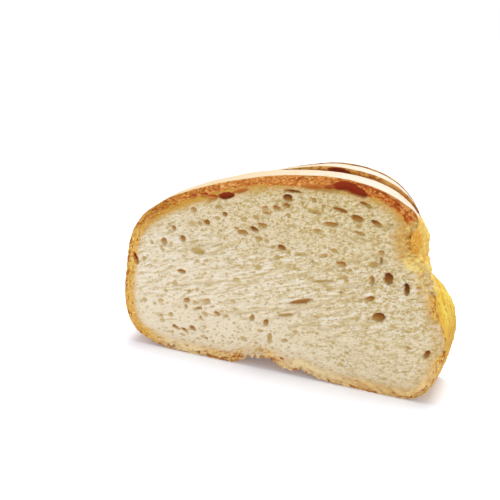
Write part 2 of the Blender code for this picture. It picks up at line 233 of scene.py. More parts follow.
@dataclass
class PoreDraw:
    """The seeded draw that places pores, large ones first, in the same order as in the solids."""

    seed: int = 11
    count: int = 26
    depth_share: float = 0.62
    most_depth: float = 3.4
    pale_depth: float = 0.3
    repeated_within: Span = (70.0, 100.0)
    repeated_shrink: float = 0.93
    repeated_lift: float = 1.5
    width: Span = (2.4, 4.6)
    flatness: Span = (0.45, 0.8)
    most_tilt: float = 20.0
    spacing: float = 1.5
    start: float = 10.0
    centre: float = 30.0
    reach: Span = (82.0, 72.0)
    small_tone: float = 0.2
    inner_x: Span = (-84.0, 84.0)
    fine_count: int = 2200
    fine_x: Span = (-92.0, 92.0)
    fine_z: Span = (4.0, 112.0)
    fine_width: Span = (0.8, 2.1)
    fine_flatness: Span = (0.4, 0.85)
    fine_depth: Span = (0.15, 0.45)
    fine_tilt: Span = (-15.0, 35.0)
    fine_tone: Span = (0.0, 0.3)
    fine_paleness: float = 1.5
    darker_above: float = 66.0
    darker: float = 1.8
    medium_count: int = 60
    medium_rise: float = 94.0
    medium_crowding: float = 0.6
    medium_width: Span = (1.6, 3.4)
    medium_depth: Span = (0.4, 1.0)
    medium_tone: Span = (0.15, 0.45)
    streak_count: int = 90
    streak_z: Span = (10.0, 104.0)
    streak_width: Span = (4.0, 11.0)
    streak_height: Span = (0.9, 1.8)
    streak_depth: Span = (0.2, 0.5)
    streak_tone: float = -0.1
    streak_rise: float = 19.0
    streak_spread: float = 9.0
    crown_above: float = 72.0
    crown_bend: float = -0.2
    crown_fall: float = 4.0
    line_count: int = 16
    line_x: Span = (-80.0, 50.0)
    line_z: Span = (18.0, 70.0)
    line_rise: Span = (12.0, 24.0)
    line_pieces: tuple[int, int] = (3, 7)
    line_width: Span = (4.0, 9.0)
    line_height: Span = (1.3, 2.6)
    line_depth: Span = (0.3, 0.8)
    line_tone: float = -0.2
    line_turn: float = 4.0
    line_step: Span = (0.6, 1.0)
    line_climb: float = 0.8
    line_waver: float = 0.4
    source: random.Random = field(init=False)

    def __post_init__(self) -> None:
        """Starts the draw."""
        self.source = random.Random(self.seed)

    def _in_crumb(self, x: float, z: float) -> bool:
        """Whether a place lies clear of the crust."""
        across = (x / self.reach[0]) ** 2 + ((z - self.centre) / self.reach[1]) ** 2
        return z > self.start and across < 1.0

    def _small(self, taken: list[HoleRow]) -> list[HoleRow]:
        """The small pores between the large ones.

        Args:
            taken: The rows of the large ones.

        Returns:
            Rows of the same kind.
        """
        found: list[HoleRow] = []
        while len(found) < self.count:
            x = self.source.uniform(-self.reach[0], self.reach[0])
            z = self.source.uniform(self.start, self.centre + self.reach[1])
            width = self.source.uniform(*self.width)
            height = width * self.source.uniform(*self.flatness)
            tilt = self.source.uniform(-self.most_tilt, self.most_tilt)
            clear = all(
                math.hypot(x - p[0], z - p[1]) > (width + max(p[2], p[3])) / 2 + self.spacing
                for p in taken + found
            )
            if clear and self._in_crumb(x, z):
                found.append((x, z, width, height, tilt, self.small_tone))
        return found

    def _turned_round(self) -> list[HoleRow]:
        """The large pores as the last cut face shows them.

        Returns:
            Rows of the same kind, turned end for end.
        """
        most_x, most_z = self.repeated_within
        shrink, lift = self.repeated_shrink, self.repeated_lift
        return [
            (-x * shrink, z * shrink + lift, width, height, -tilt, tone)
            for x, z, width, height, tilt, tone in LARGE_PORES
            if abs(x) < most_x and z < most_z
        ]

    def _depth(self, width: float, height: float, tone: float) -> float:
        """How deep a larger pore is; a pale one is shallow."""
        full = min(self.most_depth, self.depth_share * max(height, width / 2))
        return full * (self.pale_depth + (1.0 - self.pale_depth) * tone)

    def outer(self, side: CutSide) -> list[Pore]:
        """The larger pores of an outer cut face. The front is drawn first, then the back.

        Args:
            side: Which of the two faces.

        Returns:
            The solid's own pores, and on the front the lesser ones too.
        """
        large = list(LARGE_PORES) if side is CutSide.FRONT else self._turned_round()
        lesser = LESSER_PORES if side is CutSide.FRONT else []
        rows = large + self._small(large) + lesser
        return [Pore(x, z, w, h, tilt, tone, self._depth(w, h, tone)) for x, z, w, h, tilt, tone in rows]

    def fine(self, seed: int) -> list[Pore]:
        """The fine pores and the long shallow streaks of any cut face.

        Args:
            seed: Keeps one face's pores apart from another's.

        Returns:
            Round pores first, then streaks, which rise to the right low in the slice and follow the
            crown high in it.
        """
        draw = random.Random(seed)
        made = []
        for _ in range(self.fine_count):
            x, z = draw.uniform(*self.fine_x), draw.uniform(*self.fine_z)
            width = draw.uniform(*self.fine_width)
            height = width * draw.uniform(*self.fine_flatness)
            tone = draw.uniform(*self.fine_tone) ** self.fine_paleness
            tone *= self.darker if z > self.darker_above else 1.0
            tilt = draw.uniform(*self.fine_tilt)
            made.append(Pore(x, z, width, height, tilt, tone, draw.uniform(*self.fine_depth)))
        for _ in range(self.medium_count):
            x = draw.uniform(*self.inner_x)
            z = self.start + self.medium_rise * draw.random() ** self.medium_crowding
            width = draw.uniform(*self.medium_width)
            height = width * draw.uniform(*self.flatness)
            tone, depth = draw.uniform(*self.medium_tone), draw.uniform(*self.medium_depth)
            tilt = draw.uniform(-self.most_tilt, self.most_tilt)
            made.append(Pore(x, z, width, height, tilt, tone, depth))
        for _ in range(self.streak_count):
            x, z = draw.uniform(*self.inner_x), draw.uniform(*self.streak_z)
            rise = self.streak_rise if z < self.crown_above else self.crown_bend * x - self.crown_fall
            tilt = rise + draw.uniform(-self.streak_spread, self.streak_spread)
            length, height = draw.uniform(*self.streak_width), draw.uniform(*self.streak_height)
            made.append(Pore(x, z, length, height, tilt, self.streak_tone, draw.uniform(*self.streak_depth)))
        for _ in range(self.line_count):
            made.extend(self._line(draw))
        return made

    def _line(self, draw: random.Random) -> list[Pore]:
        """A long streak that rises to the right, as a row of shallow pieces.

        Args:
            draw: The face's own draw.

        Returns:
            The pieces from left to right.
        """
        x, z, tilt = draw.uniform(*self.line_x), draw.uniform(*self.line_z), draw.uniform(*self.line_rise)
        made = []
        for _ in range(draw.randint(*self.line_pieces)):
            length, height = draw.uniform(*self.line_width), draw.uniform(*self.line_height)
            made.append(Pore(x, z, length, height, tilt, self.line_tone, draw.uniform(*self.line_depth)))
            tilt += draw.uniform(-self.line_turn, self.line_turn)
            x += length * draw.uniform(*self.line_step) * math.cos(math.radians(tilt))
            climb = length * self.line_climb * math.sin(math.radians(tilt))
            z += climb + draw.uniform(-self.line_waver, self.line_waver)
        return made


@dataclass
class Skin:
    """A slice's outer surface as radii round an axis along the loaf, read from the slice's solid."""

    node: str
    centre: tuple[float, float] = (0.0, 50.0)
    directions: int = 2048
    rows: int = 13
    start_outside: float = 150.0
    face_margin: float = 0.05
    smoothing: float = 4.0
    radii: np.ndarray = field(init=False)
    front: float = field(init=False)
    back: float = field(init=False)

    def __post_init__(self) -> None:
        """Casts a ray inwards for every direction and depth."""
        low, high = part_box(self.node)
        self.front, self.back = low[1] / MM, high[1] / MM
        tree = BVHTree.FromObject(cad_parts[self.node], bpy.context.evaluated_depsgraph_get())
        depths = np.linspace(self.front + self.face_margin, self.back - self.face_margin, self.rows)
        turns = np.arange(self.directions) * (2 * math.pi / self.directions)
        self.radii = self._smoothed(np.array([[self._cast(tree, t, y) for t in turns] for y in depths]))

    def _cast(self, tree: BVHTree, turn: float, y: float) -> float:
        """Casts one ray inwards from outside the solid.

        Args:
            tree: The solid's faces.
            turn: The ray's direction from the axis, in radians.
            y: Its depth.

        Returns:
            The solid's radius there.
        """
        way = Vector((math.cos(turn), 0.0, math.sin(turn)))
        axis = Vector((self.centre[0], y, self.centre[1]))
        start = (axis + way * self.start_outside) * MM
        return self.start_outside - tree.ray_cast(start, -way)[3] / MM

    def _smoothed(self, radii: np.ndarray) -> np.ndarray:
        """Evens out the solid's facets along each row.

        Args:
            radii: One row for each depth.

        Returns:
            The same rows, evened.
        """
        reach = int(self.smoothing * 3)
        weights = np.exp(-0.5 * (np.arange(-reach, reach + 1) / self.smoothing) ** 2)
        weights /= weights.sum()
        wrapped = np.concatenate([radii[:, -reach:], radii, radii[:, :reach]], axis=1)
        return np.array([np.convolve(row, weights, "valid") for row in wrapped])

    def radius(self, turn: np.ndarray, share: np.ndarray) -> np.ndarray:
        """The skin's radius, between the rays.

        Args:
            turn: Directions in radians.
            share: Depths, from 0 at the slice's front to 1 at its back.

        Returns:
            One radius each.
        """
        column = (turn / (2 * math.pi) * self.directions) % self.directions
        left = np.floor(column).astype(int) % self.directions
        right = (left + 1) % self.directions
        across = column - np.floor(column)
        row = share * (self.rows - 1)
        near = np.minimum(np.floor(row).astype(int), self.rows - 2)
        deep = row - near
        first = mix(self.radii[near, left], self.radii[near, right], across)
        second = mix(self.radii[near + 1, left], self.radii[near + 1, right], across)
        return mix(first, second, deep)

    def _run(self, depth: float) -> tuple[np.ndarray, np.ndarray]:
        """Walks once round the outline.

        Args:
            depth: From 0 at the slice's front to 1 at its back.

        Returns:
            Directions all round, and the outline's length up to each.
        """
        turn = np.linspace(0.0, 2 * math.pi, self.directions + 1)
        radius = self.radius(turn, np.full(turn.shape, depth))
        x, z = radius * np.cos(turn), radius * np.sin(turn)
        return turn, np.concatenate([[0.0], np.cumsum(np.hypot(np.diff(x), np.diff(z)))])

    def turns(self, shares: np.ndarray, depth: float) -> np.ndarray:
        """Directions that divide the outline at one depth into equal lengths, by shares of the whole."""
        turn, run = self._run(depth)
        return np.interp(shares % 1.0, run / run[-1], turn)

    def length(self, depth: float) -> float:
        """The outline's length at one depth."""
        return float(self._run(depth)[1][-1])


@dataclass(frozen=True)
class CrustRelief:
    """The lumps, pits and crags of the outer skin."""

    round_flour: Span = (60.0, 92.0)
    torn_flour: Span = (95.0, 100.0)
    flour_turns: Span = (45.0, 66.0)
    tear_foot: Span = (54.0, 68.0)
    tear_head: Span = (102.0, 96.0)
    tear_side: Span = (50.0, 62.0)
    ledge: Span = (76.0, 83.0)
    least_curl: float = 0.3
    curl_depth: float = 2.6
    curl_lumps: float = 5.0
    broken_depth: float = 2.6
    broken_lumps: float = 3.4
    broken_reach: Span = (12.0, 4.0)
    broken_fringe: float = 8.0
    base: Span = (14.0, 2.0)
    arch_left: Span = (-19.0, -15.0)
    arch_right: Span = (-1.0, -5.0)
    arch_depth: float = 2.0
    flank: Span = (76.0, 88.0)
    crown_lip: Span = (79.0, 86.0)
    lump_size: float = 3.2
    crag_size: float = 4.6
    pit_size: float = 2.4
    chip_size: float = 1.7
    arch_chip_size: float = 1.5
    shred_size: float = 1.6
    pit_noise: Span = (0.15, 0.55)
    chip_noise: Span = (0.0, 0.5)
    arch_chip_noise: Span = (-0.1, 0.25)
    baked_lumps: float = 0.3
    baked_pits: float = 0.3
    base_pits: float = 0.5
    chip_depth: float = 1.3
    flank_crags: float = 0.5
    floured_depth: float = 0.1
    floured_lumps: float = 0.16
    crag_depth: float = 1.5
    shred_depth: float = 0.7
    lip_share: float = 0.5
    deepest: float = 3.0

    def flour(self, points: np.ndarray) -> np.ndarray:
        """Share of flour on the skin: the crown has it, from the round shoulder to the tear."""
        x, z = points[:, 0], points[:, 2]
        return mix(
            soft_step(*self.round_flour, z), soft_step(*self.torn_flour, z), soft_step(*self.flour_turns, x)
        )

    def torn(self, points: np.ndarray) -> np.ndarray:
        """Share of torn crumb on the skin, under the crown's right end."""
        x, z = points[:, 0], points[:, 2]
        return soft_step(*self.tear_foot, z) * soft_step(*self.tear_head, z) * soft_step(*self.tear_side, x)

    def curl(self, points: np.ndarray) -> np.ndarray:
        """How far the cut edge is broken back along the tear."""
        lumps = np.abs(clouds(points, self.curl_lumps, apart=15.0))
        return self.torn(points) * (self.least_curl + self.curl_depth * lumps)

    def broken(self, points: np.ndarray, rim: np.ndarray) -> np.ndarray:
        """How deep the cut face's crumb is torn out beside the tear.

        Args:
            points: Places on the cut face.
            rim: Their distances from the outline.

        Returns:
            Depths of zero or more.
        """
        ragged = np.abs(clouds(points, self.broken_lumps, 4, apart=25.0))
        above_ledge = soft_step(*self.ledge, points[:, 2])
        near_edge = soft_step(*self.broken_reach, rim + self.broken_fringe * ragged)
        return self.broken_depth * ragged * self.torn(points) * above_ledge * near_edge

    def inward(self, points: np.ndarray) -> np.ndarray:
        """How far the skin lies below the solid's, which it never passes.

        Args:
            points: Places on the solid's skin.

        Returns:
            Depths of zero or more.
        """
        x, z = points[:, 0], points[:, 2]
        low = soft_step(*self.base, z)
        lumps = 0.5 + 0.5 * clouds(points, self.lump_size)
        crags = np.abs(clouds(points, self.crag_size, 4, apart=40.0))
        pits = soft_step(*self.pit_noise, clouds(points, self.pit_size, 2, apart=90.0))
        chips = soft_step(*self.chip_noise, clouds(points, self.chip_size, 2, apart=130.0))
        baked = self.baked_lumps * lumps + self.baked_pits * pits
        baked = baked + low * (self.base_pits * pits + self.chip_depth * chips)
        arch = soft_step(*self.arch_left, x) * soft_step(*self.arch_right, x) * low
        arch_chips = soft_step(*self.arch_chip_noise, clouds(points, self.arch_chip_size, 1, apart=170.0))
        baked = baked + arch * self.arch_depth * arch_chips
        baked = baked + soft_step(*self.flank, x) * (self.baked_lumps * lumps + self.flank_crags * crags)
        floured = self.floured_depth + self.floured_lumps * lumps
        shreds = np.abs(clouds(points, self.shred_size, 2, apart=7.0))
        shredded = self.crag_depth * crags + self.shred_depth * shreds + self.baked_lumps * lumps
        shredded = shredded * mix(1.0, self.lip_share, soft_step(*self.crown_lip, z))
        skin = mix(mix(baked, floured, self.flour(points)), shredded, self.torn(points))
        return np.clip(skin, 0.0, self.deepest)


@dataclass
class CrumbRelief:
    """The open texture of one cut face."""

    pores: list[Pore]
    grain: float = 0.3
    grain_size: float = 1.5
    edge_raggedness: float = 0.5
    edge_size: float = 1.8
    fibre: float = 0.3
    fibre_length: float = 3.0
    fibre_size: float = 1.4
    fibre_rise: float = 19.0
    fibre_noise: Span = (0.1, 0.6)
    crown_above: float = 72.0
    crown_bend: float = -0.2
    crown_fall: float = 3.0
    band_width: Span = (2.0, 5.0)
    band_pits: float = 0.9
    band_pit_size: float = 1.9
    band_pit_noise: Span = (0.1, 0.6)
    looked_at: float = 0.75

    def below(self, points: np.ndarray, rim: np.ndarray) -> tuple[np.ndarray, np.ndarray, np.ndarray]:
        """How far each place lies below the knife's plane.

        Args:
            points: Places on the plane.
            rim: Their distances from the outline.

        Returns:
            Depths of zero or more, how far into a pore each place lies, from 0 to 1, and that pore's tone.
        """
        x, z = points[:, 0], points[:, 2]
        ragged = self.edge_raggedness * clouds(points, self.edge_size, 2, apart=20.0)
        deepest, strongest = np.zeros(len(points)), np.zeros(len(points))
        share, tone = np.zeros(len(points)), np.zeros(len(points))
        for pore in self.pores:
            reach = max(pore.width, pore.height) * self.looked_at
            near = np.flatnonzero((np.abs(x - pore.x) < reach) & (np.abs(z - pore.z) < reach))
            here, spread_shade, shade = pore.share(x[near], z[near], ragged[near])
            deepest[near] = np.maximum(deepest[near], here * pore.depth)
            stronger = spread_shade * pore.depth > strongest[near]
            strongest[near[stronger]] = (spread_shade * pore.depth)[stronger]
            share[near[stronger]] = spread_shade[stronger]
            tone[near[stronger]] = shade[stronger]
        grain = clouds(points, self.grain_size) * 0.5 + 0.5
        crumb = soft_step(*self.band_width, rim)
        fibres = self.fibre * soft_step(*self.fibre_noise, self._fibres(points)) * crumb
        pits = soft_step(*self.band_pit_noise, clouds(points, self.band_pit_size, 2, apart=60.0))
        bubbles = self.band_pits * pits * (1.0 - crumb)
        shallow = self.grain * grain + fibres + bubbles
        return shallow + deepest, share, tone

    def _fibres(self, points: np.ndarray) -> np.ndarray:
        """Noise drawn out along the crumb, which rises to the right low down and follows the crown above.

        Args:
            points: Places on the cut face.

        Returns:
            One value a point, mostly between -1 and 1.
        """
        x, z = points[:, 0], points[:, 2]
        bent = self.crown_bend * x - self.crown_fall
        slant = np.radians(np.where(z < self.crown_above, self.fibre_rise, bent))
        along = x * np.cos(slant) + z * np.sin(slant)
        across = z * np.cos(slant) - x * np.sin(slant)
        drawn = np.stack([along / self.fibre_length, points[:, 1] / self.fibre_length, across], axis=1)
        return clouds(drawn, self.fibre_size, 2)


@dataclass
class BreadSlice:
    """One slice: a fine cut face, a skin round its edge and a coarser second cut face."""

    node: str
    outward: CutSide
    pores: list[Pore]
    fine_seed: int
    # Share of the crown's orange-brown in the outward face's band; the middle slice's lower share is painted
    # light over the shade between the slices.
    bake_and_painted_light: float = 1.0
    divisions: int = 250
    far_divisions: int = 110
    steps: int = 14
    far_shrink: float = 0.985
    skin_from: float = 0.01
    outermost: float = 0.999
    edge_fade: float = 0.86
    tuck: float = 0.0
    deep_tear: float = 1.4
    lip_reach: float = 7.0
    deepest_hollow: float = 2.0
    smooth_below: float = 60.0

    def _cage(self) -> bpy.types.Object:
        """Models a unit box: a grid, its edge drawn back step by step, and a second grid bridged to it.

        Returns:
            The box, one unit deep for each step.
        """
        deselect()
        upright = (math.pi / 2, 0.0, 0.0)
        bpy.ops.mesh.primitive_grid_add(
            x_subdivisions=self.divisions, y_subdivisions=self.divisions, size=2.0, rotation=upright
        )
        cage = bpy.context.object
        bpy.ops.object.transform_apply(location=False, rotation=True, scale=False)
        bpy.ops.object.mode_set(mode="EDIT")
        bpy.ops.mesh.select_mode(type="EDGE")
        bpy.ops.mesh.select_all(action="SELECT")
        bpy.ops.mesh.region_to_loop()
        for _ in range(self.steps):
            bpy.ops.mesh.extrude_edges_move(TRANSFORM_OT_translate={"value": (0.0, 1.0, 0.0)})
        deselect()
        bpy.ops.mesh.primitive_grid_add(
            x_subdivisions=self.far_divisions,
            y_subdivisions=self.far_divisions,
            size=2.0,
            location=(0.0, self.steps + 1.0, 0.0),
            rotation=upright,
        )
        far = bpy.context.object
        bpy.ops.object.transform_apply(location=True, rotation=True, scale=False)
        cage.select_set(True)
        far.select_set(True)
        bpy.context.view_layer.objects.active = cage
        bpy.ops.object.join()
        bpy.ops.object.mode_set(mode="EDIT")
        bpy.ops.mesh.select_mode(type="EDGE")
        bpy.ops.mesh.select_all(action="DESELECT")
        bpy.ops.mesh.select_non_manifold(use_wire=False, use_multi_face=False, use_non_contiguous=False)
        bpy.ops.mesh.bridge_edge_loops()
        deselect()
        return cage

    def build(self, coats: dict[Coat, bpy.types.Material]) -> bpy.types.Object:
        """Models the slice and dresses it.

        Args:
            coats: The material of each slot.

        Returns:
            The finished piece.
        """
        piece = self._cage()
        piece.name = self.node.replace("slice_", "bread_")
        piece.data.name = piece.name
        mesh = piece.data
        cage = np.empty(len(mesh.vertices) * 3)
        mesh.vertices.foreach_get("co", cage)
        cage = cage.reshape(-1, 3)
        self._paint(mesh, coats)
        self._shape(mesh, cage)
        self._finish(piece)
        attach(piece, BODY)
        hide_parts(self.node)
        LOG.info("%s: %d faces", piece.name, len(mesh.polygons))
        return piece

    def _paint(self, mesh: bpy.types.Mesh, coats: dict[Coat, bpy.types.Material]) -> None:
        """Gives the skin's faces the crust, by their place in the cage, and the rest the crumb.

        Args:
            mesh: The cage's mesh, not yet shaped.
            coats: The material of each slot.
        """
        for coat in Coat:
            mesh.materials.append(coats[coat])
        middles = np.empty(len(mesh.polygons) * 3)
        mesh.polygons.foreach_get("center", middles)
        level = middles.reshape(-1, 3)[:, 1]
        skin = (level > self.skin_from) & (level < self.steps)
        mesh.polygons.foreach_set("material_index", np.where(skin, Coat.CRUST.value, Coat.CRUMB.value))

    def _shape(self, mesh: bpy.types.Mesh, cage: np.ndarray) -> None:
        """Moves the cage's vertices onto the bread and stores what the materials need.

        Args:
            mesh: The cage's mesh.
            cage: The vertices' places in it.
        """
        skin, relief = Skin(self.node), CrustRelief()
        out = self.outward.value
        across, level, up = cage[:, 0], np.clip(cage[:, 1], 0.0, self.steps), cage[:, 2]
        ring = np.maximum(np.abs(across), np.abs(up))
        far = cage[:, 1] > self.steps + 0.5
        on_face = (cage[:, 1] < 0.5) | far
        spread = np.where(far, ring * self.far_shrink, ring)
        depth = level / self.steps
        share = self._share_round(across, up, ring)
        turn = skin.turns(share, 0.5)
        radius = skin.radius(turn, depth if self.outward is CutSide.FRONT else 1.0 - depth)
        way_x, way_z = np.cos(turn), np.sin(turn)
        near, far_y = (skin.front, skin.back) if self.outward is CutSide.FRONT else (skin.back, skin.front)
        lip = relief.curl(self._points(skin, radius, way_x, way_z, np.full(len(cage), near)))
        y = mix(near - lip * np.where(on_face, 0.0, out), far_y, depth)
        edge = self._points(skin, radius, way_x, way_z, y)
        inward = relief.inward(edge) + self.tuck * relief.torn(edge)
        inward = inward * np.where(on_face, soft_step(self.edge_fade, 1.0, spread), 1.0)
        flat = self._points(skin, radius * spread - inward, way_x, way_z, y)
        rim = self._rim_distance(edge, flat, on_face)
        below, pore, tone = CrumbRelief(self.pores + PoreDraw().fine(self.fine_seed)).below(flat, rim)
        broken = relief.broken(flat, rim)
        # Torn-out crags take the pores' colour too: painted shade by how deep the crumb is torn out.
        pore = np.maximum(pore, np.clip(broken / self.deep_tear, 0.0, 1.0))
        first = depth < 0.5
        below = below + np.where(first, lip * soft_step(self.lip_reach, 0.0, rim) + broken, 0.0)
        sunk = np.where(ring < self.outermost, below, np.where(first, lip, 0.0))
        looks = np.where(first, 1.0, -1.0) * out
        flat[:, 1] -= np.where(on_face, sunk, 0.0) * looks
        low, high = np.array(CAD_BOX) / MM
        mesh.vertices.foreach_set("co", (np.clip(flat, low, high) * MM).ravel())
        self._store(mesh, "rim", rim)
        self._store(mesh, "run", share * skin.length(0.5))
        self._store(mesh, "bake_and_painted_light", np.where(looks == out, self.bake_and_painted_light, 0.0))
        # pore and tone feed the painted shade inside the pores.
        self._store(mesh, "pore", np.where(on_face, pore, 0.0))
        self._store(mesh, "tone", tone)
        # How deep the skin lies in a hollow, which the crust's material turns into painted shade.
        self._store(mesh, "hollow", np.clip(inward / self.deepest_hollow, 0.0, 1.0))
        self._store(mesh, "flour", relief.flour(edge))
        self._store(mesh, "torn", relief.torn(edge))

    @staticmethod
    def _share_round(across: np.ndarray, up: np.ndarray, ring: np.ndarray) -> np.ndarray:
        """Places each vertex on its square ring.

        Args:
            across: The vertices' places across the cage.
            up: Their heights in it.
            ring: The greater of the two without its sign.

        Returns:
            Shares of the way round, from the right-hand side upwards.
        """
        safe = np.where(ring > 0.0, ring, 1.0)
        sideways = np.abs(across) >= np.abs(up)
        turn_side = np.where(across >= 0.0, up, -up) / safe * math.pi / 4
        turn_side = turn_side + np.where(across >= 0.0, 0.0, math.pi)
        turn_up = math.pi / 2 - np.where(up >= 0.0, across, -across) / safe * math.pi / 4
        turn_up = turn_up + np.where(up >= 0.0, 0.0, math.pi)
        return np.where(sideways, turn_side, turn_up) / (2 * math.pi)

    @staticmethod
    def _points(
        skin: Skin, radius: np.ndarray, way_x: np.ndarray, way_z: np.ndarray, y: np.ndarray
    ) -> np.ndarray:
        """Places at these radii from the slice's axis."""
        return np.stack([skin.centre[0] + radius * way_x, y, skin.centre[1] + radius * way_z], axis=1)

    @staticmethod
    def _rim_distance(edge: np.ndarray, flat: np.ndarray, on_face: np.ndarray) -> np.ndarray:
        """Measures how far the cut faces' vertices lie from the outline.

        Args:
            edge: Places on the outline, one for each vertex.
            flat: The vertices' own places.
            on_face: Which vertices are on a cut face.

        Returns:
            Distances, and zero on the skin.
        """
        found = np.zeros(len(flat))
        unique = np.unique(np.round(edge[on_face][:, [0, 2]], 2), axis=0)
        tree = kdtree.KDTree(len(unique))
        for index, (x, z) in enumerate(unique):
            tree.insert((x, 0.0, z), index)
        tree.balance()
        for index in np.flatnonzero(on_face):
            found[index] = tree.find((flat[index, 0], 0.0, flat[index, 2]))[2]
        return found

    @staticmethod
    def _store(mesh: bpy.types.Mesh, name: str, values: np.ndarray) -> None:
        """Keeps one value a vertex for the materials."""
        layer = mesh.attributes.new(name, "FLOAT", "POINT")
        layer.data.foreach_set("value", values.astype(np.float32))

    def _finish(self, piece: bpy.types.Object) -> None:
        """Turns all faces outwards and shades the piece smooth but for its cut edges.

        Args:
            piece: The shaped piece.
        """
        deselect()
        piece.select_set(True)
        bpy.context.view_layer.objects.active = piece
        bpy.ops.object.mode_set(mode="EDIT")
        bpy.ops.mesh.select_all(action="SELECT")
        bpy.ops.mesh.normals_make_consistent(inside=False)
        deselect()
        piece.select_set(True)
        bpy.ops.object.shade_smooth_by_angle(angle=math.radians(self.smooth_below))
        deselect()


class Signal:
    """One number socket of a material, whose arithmetic adds Math nodes."""

    def __init__(self, recipe: "Recipe", socket: bpy.types.NodeSocket) -> None:
        """Wraps a socket of a recipe."""
        self.recipe = recipe
        self.socket = socket

    def _math(self, operation: str, *values: "Signal | float") -> "Signal":
        """A Math node on these values."""
        made = self.recipe.node("ShaderNodeMath", {"operation": operation}, dict(enumerate(values)))
        return Signal(self.recipe, made.outputs[0])

    def __add__(self, other: "Signal | float") -> "Signal":
        """self + other."""
        return self._math("ADD", self, other)

    def __radd__(self, other: float) -> "Signal":
        """other + self."""
        return self._math("ADD", other, self)

    def __sub__(self, other: "Signal | float") -> "Signal":
        """self - other."""
        return self._math("SUBTRACT", self, other)

    def __rsub__(self, other: float) -> "Signal":
        """other - self."""
        return self._math("SUBTRACT", other, self)

    def __mul__(self, other: "Signal | float") -> "Signal":
        """self * other."""
        return self._math("MULTIPLY", self, other)

    def __rmul__(self, other: float) -> "Signal":
        """other * self."""
        return self._math("MULTIPLY", other, self)

    def clamped(self) -> "Signal":
        """The value kept between 0 and 1."""
        return self._math("MINIMUM", self._math("MAXIMUM", self, 0.0), 1.0)

    def between(self, low: float, high: float) -> "Signal":
        """A share of the way between two values, with soft ends.

        Args:
            low: Where the share is 0.
            high: Where it is 1.

        Returns:
            The share.
        """
        made = self.recipe.node(
            "ShaderNodeMapRange",
            {"interpolation_type": "SMOOTHSTEP"},
            {"Value": self, "From Min": low, "From Max": high},
        )
        return Signal(self.recipe, made.outputs[0])


class Colour:
    """One colour socket of a material."""

    def __init__(self, recipe: "Recipe", socket: bpy.types.NodeSocket) -> None:
        """Wraps a socket of a recipe."""
        self.recipe = recipe
        self.socket = socket

    def over(self, other: "Colour | str", share: Signal | float) -> "Colour":
        """This colour turned by a share into another, which may be given by its hex name."""
        return self.recipe.blend(self, other, share)


def linear(hex_name: str) -> tuple[float, float, float, float]:
    """A screen colour such as "c47a2f" as the shader's linear values."""
    parts = [int(hex_name[i : i + 2], 16) / 255 for i in (0, 2, 4)]
    return (*[p / 12.92 if p <= 0.04045 else ((p + 0.055) / 1.055) ** 2.4 for p in parts], 1.0)


